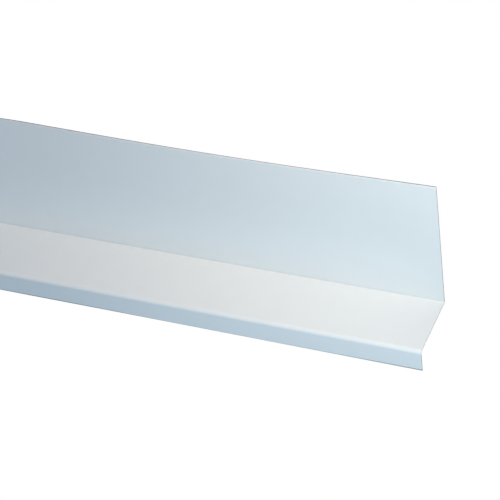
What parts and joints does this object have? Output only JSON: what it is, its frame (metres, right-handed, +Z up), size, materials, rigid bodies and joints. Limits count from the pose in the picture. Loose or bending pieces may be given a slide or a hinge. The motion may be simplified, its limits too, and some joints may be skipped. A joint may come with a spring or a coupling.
{
  "type": "deck ledger flashing",
  "caption": "Long white vinyl flashing strip: a tall flat leg, a sloping shelf and a short drip lip, in one bent piece.",
  "frame": {"origin": "on the floor under the back of the leg, at the middle of the stick's length and of its overall width", "axes": "+X along the stick, +Y across the leg from the heel bend to its free edge, +Z up, the way the leg's weather face looks"},
  "size_m": [3.048, 0.1384, 0.0579],
  "materials": {
    "white_vinyl": "satin"
  },
  "bodies": {
    "root": {"ledger_flashing": "white_vinyl"}
  },
  "joints": []
}
